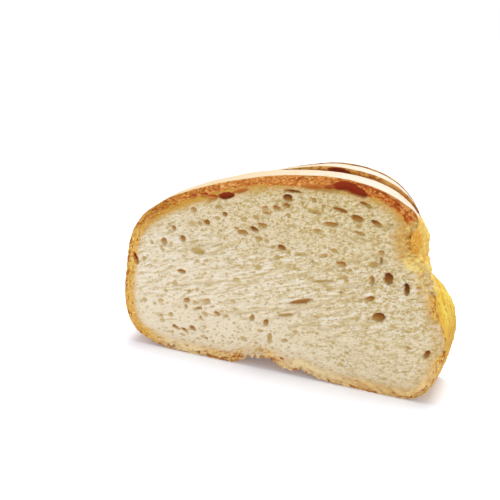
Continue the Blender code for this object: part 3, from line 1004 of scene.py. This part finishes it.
class Recipe:
    """A material under construction."""

    def __init__(self, name: str) -> None:
        """Starts from an empty material with one Principled shader.

        Args:
            name: The material's name.
        """
        self.material = bpy.data.materials.new(name)
        self.material.use_nodes = True
        self.tree = self.material.node_tree
        self.shader = self.tree.nodes["Principled BSDF"]
        self.place = self.node("ShaderNodeTexCoord", {}, {}).outputs["Object"]
        scaled = self.node("ShaderNodeVectorMath", {"operation": "SCALE"}, {0: self.place, "Scale": 1 / MM})
        self.place = scaled.outputs[0]
        parts = self.node("ShaderNodeSeparateXYZ", {}, {0: self.place})
        self.x, self.y, self.z = (Signal(self, part) for part in parts.outputs)

    def node(self, kind: str, settings: dict, values: dict) -> bpy.types.Node:
        """Adds a node.

        Args:
            kind: The node's type.
            settings: Its properties, set first.
            values: Numbers, colours, sockets or signals by input name or index.

        Returns:
            The node.
        """
        made = self.tree.nodes.new(kind)
        for name, value in settings.items():
            setattr(made, name, value)
        for name, value in values.items():
            self.feed(made.inputs[name], value)
        return made

    def feed(self, socket: bpy.types.NodeSocket, value: object) -> None:
        """Links or sets one input.

        Args:
            socket: The input.
            value: A signal, a colour or a socket to link, or a plain value to set.
        """
        if isinstance(value, (Signal, Colour)):
            value = value.socket
        if isinstance(value, bpy.types.NodeSocket):
            self.tree.links.new(value, socket)
        else:
            socket.default_value = value

    def kept(self, name: str) -> Signal:
        """A value that the mesh keeps at its vertices."""
        made = self.node("ShaderNodeAttribute", {"attribute_name": name}, {})
        return Signal(self, made.outputs["Fac"])

    def join(self, *parts: Signal) -> bpy.types.NodeSocket:
        """One place made of three values."""
        return self.node("ShaderNodeCombineXYZ", {}, dict(enumerate(parts))).outputs[0]

    def scaled(self, place: bpy.types.NodeSocket, along: tuple[float, float, float]) -> bpy.types.NodeSocket:
        """A place scaled on each axis."""
        made = self.node("ShaderNodeVectorMath", {"operation": "MULTIPLY"}, {0: place, 1: along})
        return made.outputs[0]

    def stretched(self, along: tuple[float, float, float], rise: float) -> bpy.types.NodeSocket:
        """The place for a drawn-out pattern.

        Args:
            along: How much the pattern is drawn out on each axis.
            rise: How far it then rises to the right, in degrees.

        Returns:
            The place's socket.
        """
        made = self.node(
            "ShaderNodeMapping",
            {"vector_type": "TEXTURE"},
            {"Vector": self.place, "Rotation": (0.0, -math.radians(rise), 0.0), "Scale": along},
        )
        return made.outputs[0]

    def noise(
        self,
        size: float,
        detail: float = 3.0,
        roughness: float = 0.55,
        place: bpy.types.NodeSocket | None = None,
    ) -> Signal:
        """Cloud noise.

        Args:
            size: Width of the largest lumps in millimetres.
            detail: How many finer layers are added.
            roughness: How strong the finer layers are.
            place: Where it is read, if not at the object's own place.

        Returns:
            Values from 0 to 1.
        """
        made = self.node(
            "ShaderNodeTexNoise",
            {},
            {
                "Vector": place or self.place,
                "Scale": 1.0 / size,
                "Detail": detail,
                "Roughness": roughness,
            },
        )
        return Signal(self, made.outputs["Fac"])

    def blend(self, first: Colour | str, second: Colour | str, share: Signal | float) -> Colour:
        """A colour between two.

        Args:
            first: The colour at a share of 0.
            second: The colour at a share of 1.
            share: How far it is turned.

        Returns:
            The mixed colour.
        """
        made = self.node("ShaderNodeMix", {"data_type": "RGBA"}, {"Factor": share})
        for index, value in ((6, first), (7, second)):
            self.feed(made.inputs[index], linear(value) if isinstance(value, str) else value)
        return Colour(self, made.outputs[2])

    def bump(self, height: Signal, distance: float, strength: float = 1.0) -> bpy.types.NodeSocket:
        """A normal from relief that is too fine for the mesh.

        Args:
            height: The relief.
            distance: How many millimetres a height of 1 stands for.
            strength: How much of it shows.

        Returns:
            The normal's socket.
        """
        made = self.node(
            "ShaderNodeBump", {}, {"Height": height, "Distance": distance * MM, "Strength": strength}
        )
        return made.outputs[0]

    def dress(self, colour: Colour, normal: bpy.types.NodeSocket, roughness: float, specular: float) -> None:
        """Feeds the shader.

        Args:
            colour: The colour all over.
            normal: The fine relief.
            roughness: Set on the shader itself, as the specular level is.
            specular: The specular level.
        """
        self.feed(self.shader.inputs["Base Color"], colour)
        self.feed(self.shader.inputs["Normal"], normal)
        self.feed(self.shader.inputs["Roughness"], roughness)
        self.feed(self.shader.inputs["Specular IOR Level"], specular)


@dataclass(frozen=True)
class CrumbPlaces:
    """Where a cut face's looks change, across the slice or up it: where a share starts and is full."""

    crown: Span = (66.0, 90.0)
    crown_end: Span = (-80.0, -50.0)
    orange: Span = (-75.0, -30.0)
    redder: Span = (15.0, 65.0)
    cavity_left: Span = (-12.0, 12.0)
    cavity_right: Span = (44.0, 60.0)
    round_end: Span = (-74.0, -56.0)
    torn_end: Span = (70.0, 84.0)
    thin_foot: Span = (26.0, 34.0)
    thin_head: Span = (44.0, 52.0)
    base: Span = (16.0, 30.0)
    base_wider: Span = (12.0, 26.0)
    corner: Span = (50.0, 70.0)
    arch_left: Span = (-19.0, -15.0)
    arch_right: Span = (-5.0, -2.0)
    arch_top: Span = (12.0, 16.0)
    browner_left: Span = (-48.0, -36.0)
    browner_right: Span = (-5.0, 10.0)
    richer: Span = (25.0, 60.0)
    lighter: Span = (-82.0, -62.0)
    less_glow: Span = (-70.0, -10.0)
    warm_left: Span = (0.0, 60.0)
    warm_head: Span = (50.0, 80.0)
    drawn_foot: Span = (24.0, 40.0)
    drawn_head: Span = (66.0, 84.0)
    drawn_right: Span = (30.0, 76.0)
    coarse_left: Span = (36.0, 56.0)
    coarse_foot: Span = (26.0, 40.0)
    coarse_head: Span = (66.0, 76.0)
    tear_foot: Span = (76.0, 82.0)
    first_face: Span = (-12.0, -8.0)


class CutFace(Recipe):
    """The crumb's material, with what several of its layers read."""

    def __init__(self, places: CrumbPlaces) -> None:
        """Starts the material.

        Args:
            places: Where its looks change.
        """
        super().__init__("crumb")
        self.rim, self.torn = self.kept("rim"), self.kept("torn")
        # pore and tone carry the pores' painted shade.
        self.pore, self.tone = self.kept("pore"), self.kept("tone")
        self.crown = self.z.between(*places.crown)
        self.cloudy = self.noise(3.0, 3.0)
        self.along_rim = self.join(self.kept("run"), self.rim, self.y)
        self.streaks = self.noise(1.0, 4.0, 0.8, self.scaled(self.along_rim, (0.6, 1.0, 0.7)))
        self.spots = self.noise(1.9, 4.0, 0.7, self.scaled(self.along_rim, (0.4, 1.0, 0.7)))


@dataclass(frozen=True)
class CrumbFinish:
    """A cut face: pale crumb, tan pores of painted shade and the browned edge of the crust."""

    white: str = "fff7e6"
    pale: str = "fbebcd"
    middle: str = "e3ca90"
    tan: str = "c0a45a"
    # These six colours are painted shade inside the pores, redder close under the crust.
    pore: str = "c8a448"
    torn_pore_shade: str = "d8963a"
    brown_pore_shade: str = "b87c34"
    dark_pore_shade: str = "82461c"
    thin_cavity_shade: str = "e89c4a"
    cavity: str = "ac4222"
    crown_light: str = "f8c678"
    crown_left: str = "d08a2c"
    crown: str = "e08c3c"
    crown_red: str = "da782a"
    crown_dark: str = "a84616"
    crown_rim: str = "e6b868"
    side_light: str = "fbe09a"
    base_light: str = "ffe8b4"
    side: str = "ecb240"
    side_brown: str = "cc8440"
    side_dark: str = "b4601e"
    glow: str = "d8a446"
    tear: str = "f6d88e"
    # The next colour darkens the torn crumb in flecks and also paints shade into the hollow behind the tear.
    tear_flecks_and_shade: str = "d29a48"
    ledge: str = "ffe388"
    roughness: float = 0.95
    specular: float = 0.15
    at: CrumbPlaces = CrumbPlaces()
    rise: float = 15.0
    layer_rise: float = 18.0
    band_width: float = 5.0
    left_extra: float = 1.8
    base_extra: float = 1.6
    corner_less: float = 0.8
    thin_less: float = 3.2
    # A spot of painted shade in the hollow behind the first slice's tear: its x and z, then its reach.
    hollow_shade_at: Span = (73.5, 86.0)
    hollow_shade_reach: Span = (4.2, 6.0)
    ledge_at: Span = (78.4, 77.2)
    ledge_reach: Span = (8.4, 6.0)

    def build(self) -> bpy.types.Material:
        """Lays the baked band over the crumb's edge and the pores over both.

        Returns:
            The material.
        """
        face = CutFace(self.at)
        baked = self._baked(face)
        # Pores get the hole's painted shade, by how far into a pore a place lies and by its tone; over the
        # baked band only dark pores show.
        inside = face.pore.between(0.0, 0.75) * (0.45 + face.tone * 1.1).clamped()
        inside = inside * (1.0 - baked * (1.0 - face.tone.between(0.3, 0.6)))
        colour = self._near_crust(face).over(self._band(face), baked).over(self._hole(face), inside)
        height = face.noise(1.0, 4.0, 0.75) * 0.65 + face.noise(0.4, 2.0) * 0.35
        face.dress(colour, face.bump(height, 0.9), self.roughness, self.specular)
        return face.material

    def _near_crust(self, face: CutFace) -> Colour:
        """The crumb with its glow along the crust, its torn places and painted shade in the hollow behind
        the tear.

        Args:
            face: The material.

        Returns:
            The crumb's colour.
        """
        flecks = face.noise(1.1, 4.0, 0.7)
        glow = 0.4 + face.crown * (1.3 - face.x.between(*self.at.less_glow) * 0.75)
        glow = glow * (1.0 - (face.rim - 4.5).between(0.0, 7.0))
        crumb = self._crumb(face).over(self.glow, (glow * (0.3 + face.cloudy * 1.2)).clamped())
        crumb = crumb.over(self.side_dark, glow * face.crown * flecks.between(0.56, 0.7) * 0.6)
        tear = face.blend(self.tear, self.tear_flecks_and_shade, flecks.between(0.5, 0.62) * 0.8)
        beside = face.torn * (1.0 - (face.rim + face.cloudy * 4.0).between(2.0, 9.0))
        crumb = crumb.over(tear, beside * face.z.between(*self.at.tear_foot))
        # Painted shade in the hollow behind the first slice's tear.
        hollow = self._spot(face, self.hollow_shade_at, self.hollow_shade_reach)
        crumb = crumb.over(self.tear_flecks_and_shade, hollow * (1.0 - flecks.between(0.5, 0.56) * 0.8))
        shreds = face.noise(1.5, 3.0, 0.65).between(0.54, 0.6) * face.torn
        crumb = crumb.over(self.ledge, shreds * (1.0 - face.rim.between(4.0, 10.0)) * 0.8)
        ledge = self._spot(face, self.ledge_at, self.ledge_reach)
        return crumb.over(self.ledge, ledge * (0.5 + flecks.between(0.44, 0.54) * 0.5))

    def _hole(self, face: CutFace) -> Colour:
        """The painted shade inside a pore, redder close under the crust.

        Args:
            face: The material.

        Returns:
            The pore's colour.
        """
        close = 1.0 - face.rim.between(7.0, 10.0)
        shallow = face.blend(self.pore, self.torn_pore_shade, face.torn * (1.0 - face.rim.between(7.0, 14.0)))
        brown = face.blend(self.brown_pore_shade, self.thin_cavity_shade, close)
        dark = face.blend(self.dark_pore_shade, self.cavity, close)
        return shallow.over(brown, face.tone.between(0.1, 0.5)).over(dark, face.tone.between(0.45, 0.9))

    def _baked(self, face: CutFace) -> Signal:
        """Where the cut face shows the crust's band, which ends more sharply on the crown.

        Args:
            face: The material.

        Returns:
            A share from 0 to 1, which is 0 at the tear and in the base's arch.
        """
        x, z, at = face.x, face.z, self.at
        over_cavity = x.between(*at.cavity_left) * (1.0 - x.between(*at.cavity_right))
        width = self.band_width + face.crown * (over_cavity * 1.6 - 0.4) + self._wider(face)
        past = face.rim + (face.cloudy - 0.5) * 3.4 + (face.noise(0.9) - 0.5) * 2.4 - width
        soft, firm = past.between(-2.4, 1.4), past.between(-0.6, 0.6)
        arch = x.between(*at.arch_left) * (1.0 - x.between(*at.arch_right))
        arch = arch * (1.0 - z.between(*at.arch_top))
        band = 1.0 - soft + (soft - firm) * face.crown
        return band * (1.0 - face.torn.between(0.3, 0.8)) * (1.0 - arch)

    def _spot(self, face: CutFace, middle: Span, reach: Span) -> Signal:
        """A ragged spot on the first slice's cut face.

        Args:
            face: The material.
            middle: The spot's x and z.
            reach: Its reach along x and z.

        Returns:
            A share from 0 to 1.
        """
        across, up = (face.x - middle[0]) * (1.0 / reach[0]), (face.z - middle[1]) * (1.0 / reach[1])
        inside = 1.0 - (across * across + up * up + (face.cloudy - 0.5) * 2.4).between(0.5, 1.2)
        return inside * (1.0 - face.y.between(*self.at.first_face))

    def _wider(self, face: CutFace) -> Signal:
        """How much wider the baked band is at the left and along the base, and thinner at the right.

        Args:
            face: The material.

        Returns:
            Millimetres to add to its usual width.
        """
        x, z, at = face.x, face.z, self.at
        low, left = 1.0 - z.between(*at.base_wider), 1.0 - x.between(*at.round_end)
        base = low * (1.0 - left) * (self.base_extra - x.between(*at.corner) * self.corner_less)
        thin = x.between(*at.torn_end) * z.between(*at.thin_foot) * (1.0 - z.between(*at.thin_head))
        return left * self.left_extra + base - thin * self.thin_less

    def _crumb(self, face: CutFace) -> Colour:
        """Cream mottled with tan, warmer towards the upper right, drawn out in the middle.

        Args:
            face: The material.

        Returns:
            The open crumb's colour.
        """
        x, z, at = face.x, face.z, self.at
        patches = face.noise(10.0, 3.0)
        mottle = face.noise(1.2, 5.0, 0.72, face.stretched((1.9, 1.2, 1.0), self.rise))
        grain = face.noise(0.7, 3.0, 0.6, face.stretched((1.8, 1.2, 1.0), self.rise))
        warmth = (0.36 + x * 0.0027 + (z - 58.0) * 0.0066 + (patches - 0.5) * 0.6).clamped()
        low_right = x.between(*at.warm_left) * (1.0 - z.between(*at.warm_head))
        warmth = (warmth + low_right * 0.15).clamped()
        crumb = face.blend(self.pale, self.middle, (warmth + (grain - 0.5) * 2.0).clamped())
        crumb = crumb.over(self.tan, (mottle.between(0.45, 0.62) * (0.15 + warmth * 1.15)).clamped())
        layers = face.noise(1.5, 4.0, 0.6, face.stretched((6.0, 1.5, 1.0), self.layer_rise))
        drawn_out = z.between(*at.drawn_foot) * (1.0 - z.between(*at.drawn_head))
        drawn_out = drawn_out * (1.0 - x.between(*at.drawn_right) * 0.75) * (0.35 + patches * 1.1)
        crumb = crumb.over(self.tan, (drawn_out * (1.0 - layers.between(0.38, 0.47)) * 0.6).clamped())
        crumb = crumb.over(self.white, (drawn_out * layers.between(0.52, 0.6) * 0.7).clamped())
        flakes = face.noise(2.6, 4.0, 0.7, face.stretched((1.5, 1.2, 1.0), self.rise))
        coarse = x.between(*at.coarse_left) * z.between(*at.coarse_foot)
        coarse = coarse * (1.0 - z.between(*at.coarse_head))
        crumb = crumb.over(self.tan, coarse * (1.0 - flakes.between(0.38, 0.45)) * 0.75)
        crumb = crumb.over(self.white, coarse * flakes.between(0.53, 0.6) * 0.65)
        return crumb.over(self.white, grain.between(0.54, 0.64) * 0.8)

    def _band(self, face: CutFace) -> Colour:
        """The crust where the knife went through; a paler one has no orange-brown crown. The middle slice's
        is partly paled: painted light over the shade between the slices.
        """
        low = self._low_band(face)
        return low.over(low.over(self._high_band(face), face.crown), face.kept("bake_and_painted_light"))

    def _high_band(self, face: CutFace) -> Colour:
        """The crown's orange-brown band, redder towards the tear.

        Args:
            face: The material.

        Returns:
            Its colour.
        """
        redder = face.x.between(*self.at.redder)
        high = face.blend(self.crown_left, self.crown, face.x.between(*self.at.orange))
        high = high.over(self.crown_red, redder)
        high = high.over(self.crown_light, face.streaks.between(0.53, 0.59))
        high = high.over(self.crown_dark, (1.0 - face.streaks.between(0.38, 0.46)) * 0.7)
        darker = redder * 0.06 + 0.04 - face.x.between(*self.at.crown_end) * 0.04
        high = high.over(self.crown_dark, (face.spots + darker).between(0.54, 0.61) * 0.85)
        return high.over(self.crown_rim, (1.0 - (face.rim + face.spots * 1.2).between(0.7, 1.6)) * 0.6)

    def _low_band(self, face: CutFace) -> Colour:
        """The golden band along the sides and the base, browner left of the arch and paler along the base;
        the paleness is partly the base crust's own colour, partly painted light that lifts the shade on the
        band's lowest edge.

        Args:
            face: The material.

        Returns:
            Its colour.
        """
        x, streaks, at = face.x, face.streaks, self.at
        base = 1.0 - face.z.between(*at.base)
        browner = x.between(*at.browner_left) * (1.0 - x.between(*at.browner_right))
        richer = x.between(*at.richer)
        # Paler base: partly painted light, lifting the shade that falls on the band's lowest part.
        lighter = base * x.between(*at.lighter) * (1.0 - browner * 0.6) * (1.0 - richer * 0.5)
        lighter = lighter * (face.rim.between(2.2, 4.0) * 0.2 + streaks.between(0.32, 0.46) * 0.7 + 0.1)
        outer = 1.0 - face.rim.between(1.2, 3.4)
        blotches = face.noise(5.0, 3.0, 0.65, face.scaled(face.along_rim, (0.7, 1.0, 0.7)))
        brown = base * (blotches + outer * 0.05).between(0.52, 0.6) * (0.3 + browner * 0.55 + richer * 0.1)
        dark = (face.spots + outer * 0.06 + base * (browner * 0.06 - 0.03)).between(0.55, 0.62) * 0.85
        low = face.blend(self.side_light, self.side, streaks.between(0.35, 0.56))
        low = low.over(self.base_light, lighter).over(self.side_brown, brown)
        return low.over(self.side_dark, dark)


@dataclass(frozen=True)
class CrustPlaces:
    """Where the outer skin's looks change, in any of its three directions."""

    whiter: Span = (-20.0, 50.0)
    gold: Span = (-30.0, 60.0)
    golden_brown: Span = (20.0, 70.0)
    less_brown: Span = (40.0, 80.0)
    near_tear: Span = (60.0, 84.0)
    near_tear_foot: Span = (34.0, 56.0)
    first_edge: Span = (-15.0, -8.0)
    first_edge_head: Span = (62.0, 70.0)
    shreds: Span = (72.0, 82.0)


class OuterSkin(Recipe):
    """The crust's material, with what several of its layers read."""

    def __init__(self, places: CrustPlaces) -> None:
        """Starts the material.

        Args:
            places: Where its looks change.
        """
        super().__init__("crust")
        # hollow is how deep the skin lies in a hollow, read for painted shade.
        self.torn, self.hollow = self.kept("torn"), self.kept("hollow")
        self.patches, self.spots = self.noise(8.0, 4.0, 0.6), self.noise(2.2, 3.0, 0.6)
        self.grain, self.dust = self.noise(0.8, 3.0, 0.6), self.noise(1.3, 4.0, 0.7)
        self.near_tear = self.x.between(*places.near_tear) * self.z.between(*places.near_tear_foot)


@dataclass(frozen=True)
class CrustFinish:
    """The outer skin: floured crown, golden sides and base, and the torn flank."""

    flour: str = "ecdecd"
    flour_cream: str = "e4cfac"
    flour_thin: str = "dfbd86"
    gold: str = "deb044"
    end_gold: str = "e0a854"
    bright: str = "f0da5c"
    orange: str = "dca636"
    brown: str = "b87238"
    golden_brown: str = "c28c30"
    dark: str = "8e4c1e"
    torn: str = "e2b85c"
    torn_pale: str = "f0d478"
    # The next colour browns the torn crumb in mottles and also paints shade into its recess and hollows.
    torn_mottle_and_shade: str = "dc962e"
    roughness: float = 0.9
    specular: float = 0.2
    at: CrustPlaces = CrustPlaces()
    # Where the painted shade of the tear's hollow lies, and how fast it fades along each axis.
    recess_shade_at: tuple[float, float, float] = (73.0, -15.5, 86.0)
    recess_shade_scale: tuple[float, float, float] = (0.12, 0.16, 0.13)
    torn_edge: Span = (0.35, 0.65)

    def build(self) -> bpy.types.Material:
        """Lays the flour and the torn crumb over the baked crust.

        Returns:
            The material.
        """
        skin = OuterSkin(self.at)
        torn, patches, dust = skin.torn, skin.patches, skin.dust
        powder = skin.blend(self.flour_cream, self.flour, skin.x.between(*self.at.whiter))
        powder = powder.over(self.flour_thin, (1.0 - (patches + dust).between(0.78, 0.98)) * 0.7)
        cover = skin.kept("flour") * 2.1 - 0.55 + (patches - 0.5) * 2.0 + (dust - 0.5) * 1.7
        ragged = ((patches - 0.5) * 1.6 + (dust - 0.5) * 1.4) * torn * (1.0 - torn) * 4.0
        colour = self._baked(skin).over(powder, cover.between(0.3, 0.75))
        colour = colour.over(self._torn(skin), (torn + ragged).between(*self.torn_edge))
        rougher = 1.0 + (torn + skin.near_tear).clamped() * 2.2
        height = (skin.grain * 0.6 + skin.spots * 0.4) * rougher
        skin.dress(colour, skin.bump(height, 0.3, 0.7), self.roughness, self.specular)
        return skin.material

    def _baked(self, skin: OuterSkin) -> Colour:
        """The bare crust: golden, browned in patches, brighter under the tear, with painted shade where the
        skin lies in hollows.

        Args:
            skin: The material.

        Returns:
            Its colour.
        """
        x, at = skin.x, self.at
        near_tear, patches, spots = skin.near_tear, skin.patches, skin.spots
        brown = skin.blend(self.brown, self.golden_brown, x.between(*at.golden_brown))
        browned = patches.between(0.36, 0.66) * (1.0 - near_tear * 0.8)
        # Painted shade: the skin is browner where it lies in a hollow.
        browned = browned * (1.0 - x.between(*at.less_brown) * 0.5) + skin.hollow * 0.4
        at_front = (1.0 - skin.y.between(*at.first_edge)) * (1.0 - skin.z.between(*at.first_edge_head))
        orange = near_tear * (patches.between(0.48, 0.58) * 0.9 + at_front * 0.7).clamped()
        baked = skin.blend(self.end_gold, self.gold, x.between(*at.gold)).over(self.bright, near_tear)
        baked = baked.over(brown, browned.clamped()).over(self.orange, orange)
        baked = baked.over(brown, near_tear * spots.between(0.5, 0.58) * (at_front * 0.5 + 0.1))
        # Painted shade in the hollows near the tear.
        baked = baked.over(brown, near_tear * skin.hollow.between(0.3, 0.8) * 0.35)
        return baked.over(self.dark, spots.between(0.6, 0.72) * 0.6)

    def _torn(self, skin: OuterSkin) -> Colour:
        """The torn crumb, paler low down, mottled browner, and with painted shade in its recess and hollows.

        Args:
            skin: The material.

        Returns:
            Its colour.
        """
        low = 1.0 - skin.z.between(*self.at.shreds)
        shred = skin.blend(self.torn, self.torn_pale, (skin.spots.between(0.45, 0.65) + low * 0.6).clamped())
        # Painted shade in the tear's recess and in the skin's hollows.
        recess = self._recess_shade(skin) * (0.2 + skin.patches * 1.1) + skin.hollow.between(0.25, 0.8) * 0.7
        shred = shred.over(self.torn_mottle_and_shade, (recess + (skin.grain - 0.5) * 2.4).clamped())
        return shred.over(self.torn_pale, (1.0 - skin.grain.between(0.36, 0.44)) * 0.6)

    def _recess_shade(self, skin: OuterSkin) -> Signal:
        """Painted shade in the hollow at the first slice's tear.

        Args:
            skin: The material.

        Returns:
            A share from 0 to 1.
        """
        axes = zip((skin.x, skin.y, skin.z), self.recess_shade_at, self.recess_shade_scale)
        across, along, up = ((place - middle) * scale for place, middle, scale in axes)
        return 1.0 - (across * across + along * along + up * up).between(0.5, 1.4)


@dataclass(frozen=True)
class FloorFinish:
    """The pale floor."""

    colour: str = "f3f6ff"
    glow: float = 0.12

    def build(self) -> bpy.types.Material:
        """Sets the shader's own sockets.

        Returns:
            The material.
        """
        recipe = Recipe("pale_floor")
        recipe.feed(recipe.shader.inputs["Base Color"], linear(self.colour))
        recipe.feed(recipe.shader.inputs["Emission Color"], linear("ffffff"))
        recipe.feed(recipe.shader.inputs["Emission Strength"], self.glow)
        recipe.feed(recipe.shader.inputs["Specular IOR Level"], 0.0)
        return recipe.material


@dataclass
class Loaf:
    """The three slices, front to back."""

    cavity: Pore = Pore(32.0, 115.6, 13.0, 4.6, -4.0, 0.85, 1.8)

    def build(self) -> list[bpy.types.Object]:
        """Models every slice.

        Returns:
            The pieces, front to back.
        """
        coats = {Coat.CRUMB: CrumbFinish().build(), Coat.CRUST: CrustFinish().build()}
        draw = PoreDraw()
        front = draw.outer(CutSide.FRONT)
        back = draw.outer(CutSide.BACK)
        slices = [
            BreadSlice("slice_front", CutSide.FRONT, front, 21),
            # The middle slice's band is paled: painted light over the shade between the slices.
            BreadSlice("slice_middle", CutSide.FRONT, [self.cavity], 22, bake_and_painted_light=0.55, divisions=170, tuck=2.0),
            BreadSlice("slice_back", CutSide.BACK, back, 23, tuck=2.0),
        ]
        return [piece.build(coats) for piece in slices]


@dataclass
class Studio:
    """The floor, the soft light and the camera. A lamp is its tilt, its turn, its width and its strength."""

    floor_size: float = 8000.0
    lens: float = 50.4
    sensor: float = 36.0
    clip: tuple[float, float] = (0.01, 50.0)
    camera_at: tuple[float, float, float] = (131.9, -343.1, 196.4)
    azimuth: float = 23.85
    elevation: float = 19.37
    world_strength: float = 0.53
    key: tuple[float, float, float, float] = (-8.0, -20.0, 32.0, 2.3)
    fill: tuple[float, float, float, float] = (62.0, 46.0, 60.0, 0.45)

    def build(self) -> None:
        """Makes all of it."""
        self._camera()
        self._floor()
        self._light()
        bpy.context.scene.view_settings.view_transform = "Standard"

    def _camera(self) -> None:
        """The camera at the photograph's viewing angle."""
        data = bpy.data.cameras.new("camera")
        data.lens = self.lens
        data.sensor_width = self.sensor
        data.clip_start, data.clip_end = self.clip
        camera = bpy.data.objects.new("camera", data)
        camera.location = Vector(self.camera_at) * MM
        camera.rotation_euler = (math.radians(90.0 - self.elevation), 0.0, math.radians(self.azimuth))
        bpy.context.scene.collection.objects.link(camera)
        bpy.context.scene.camera = camera

    def _floor(self) -> None:
        """A wide pale plane under the loaf."""
        deselect()
        bpy.ops.mesh.primitive_plane_add(size=self.floor_size * MM)
        floor = bpy.context.object
        floor.name = "floor"
        floor.data.materials.append(FloorFinish().build())

    def _light(self) -> None:
        """A white surround, a wide soft lamp overhead and a faint one from the front."""
        world = bpy.data.worlds.new("surround")
        world.use_nodes = True
        tree = world.node_tree
        tree.nodes["Background"].inputs["Color"].default_value = (1.0, 1.0, 1.0, 1.0)
        seen = tree.nodes.new("ShaderNodeLightPath").outputs["Is Camera Ray"]
        strength = tree.nodes.new("ShaderNodeMapRange")
        strength.inputs["To Min"].default_value = self.world_strength
        tree.links.new(seen, strength.inputs["Value"])
        tree.links.new(strength.outputs[0], tree.nodes["Background"].inputs["Strength"])
        bpy.context.scene.world = world
        for name, (tilt, turn, width, strength) in (("key", self.key), ("fill", self.fill)):
            data = bpy.data.lights.new(name, "SUN")
            data.angle = math.radians(width)
            data.energy = strength
            lamp = bpy.data.objects.new(name, data)
            lamp.rotation_euler = (math.radians(tilt), 0.0, math.radians(turn))
            bpy.context.scene.collection.objects.link(lamp)


def main() -> None:
    """Builds the studio and the loaf, and reports each piece."""
    logging.basicConfig(level=logging.INFO, format="%(name)s %(message)s")
    Studio().build()
    for piece in Loaf().build():
        LOG.info("%s rides on %s", piece.name, BODY)


if __name__ == "__main__":
    main()
